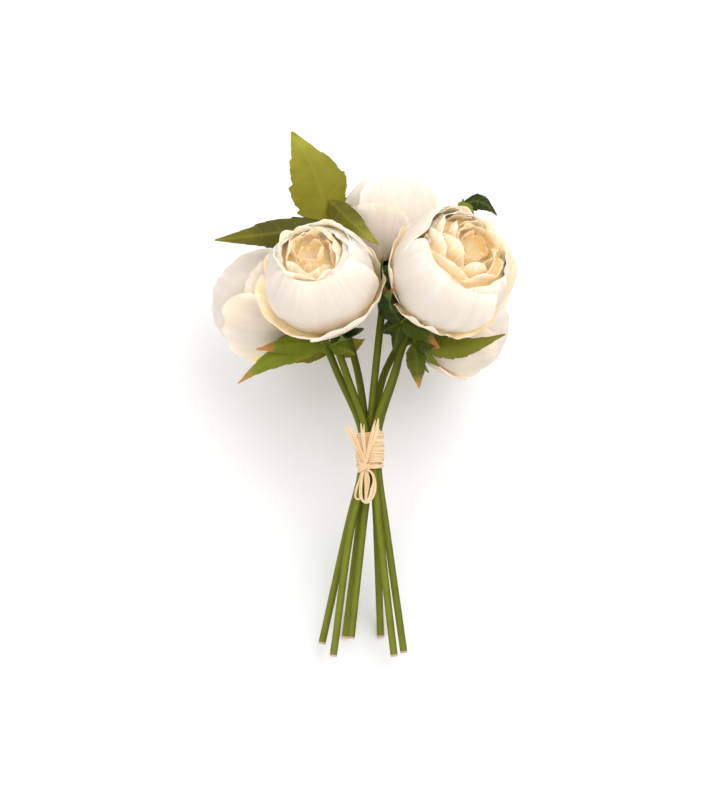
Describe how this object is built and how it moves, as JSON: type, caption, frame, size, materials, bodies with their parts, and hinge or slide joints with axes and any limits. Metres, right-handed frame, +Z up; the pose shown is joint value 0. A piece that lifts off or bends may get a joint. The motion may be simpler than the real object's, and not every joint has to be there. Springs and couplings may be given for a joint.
{
  "type": "bunch of peonies",
  "caption": "Hand-tied bunch of cream-white artificial peonies with leaves on long green stems, bound at the waist with raffia, lying down.",
  "frame": {"origin": "on the surface under the middle of the bunch's box, the surface it lies on being z = 0", "axes": "+Y runs along the bunch from the cut stem ends to the blooms, +Z points up, +X to the right when the bunch is seen from above with its blooms away"},
  "size_m": [0.177, 0.2932, 0.181],
  "materials": {
    "white_petal": "matt woven polyester, cream white",
    "cream_petal": "matt woven polyester, warm cream",
    "sepal": "green coated fabric with rusty tips",
    "stem": "moulded green plastic, slight sheen",
    "leaf": "olive green coated fabric, veined",
    "raffia": "dry straw-coloured raffia strips"
  },
  "bodies": {
    "root": {"bloom_front_left": "white_petal", "bloom_front_right": "white_petal", "bloom_left": "white_petal", "bloom_top": "white_petal", "bloom_right": "white_petal", "bloom_back_left": "white_petal", "bloom_back_right": "white_petal", "heart_front_left": "cream_petal", "heart_front_right": "cream_petal", "heart_left": "cream_petal", "heart_top": "cream_petal", "heart_right": "cream_petal", "heart_back_left": "cream_petal", "heart_back_right": "cream_petal", "calyx_front_left": "sepal", "calyx_front_right": "sepal", "calyx_left": "sepal", "calyx_top": "sepal", "calyx_right": "sepal", "calyx_back_left": "sepal", "calyx_back_right": "sepal", "stem_front_left": "stem", "stem_front_right": "stem", "stem_left": "stem", "stem_top": "stem", "stem_right": "stem", "stem_back_left": "stem", "stem_back_right": "stem", "leaf_top": "leaf", "leaf_front_left": "leaf", "leaf_front_right": "leaf", "leaf_back_right": "leaf", "leaf_back_left": "leaf", "raffia_wrap": "raffia", "raffia_bow": "raffia"}
  },
  "joints": []
}
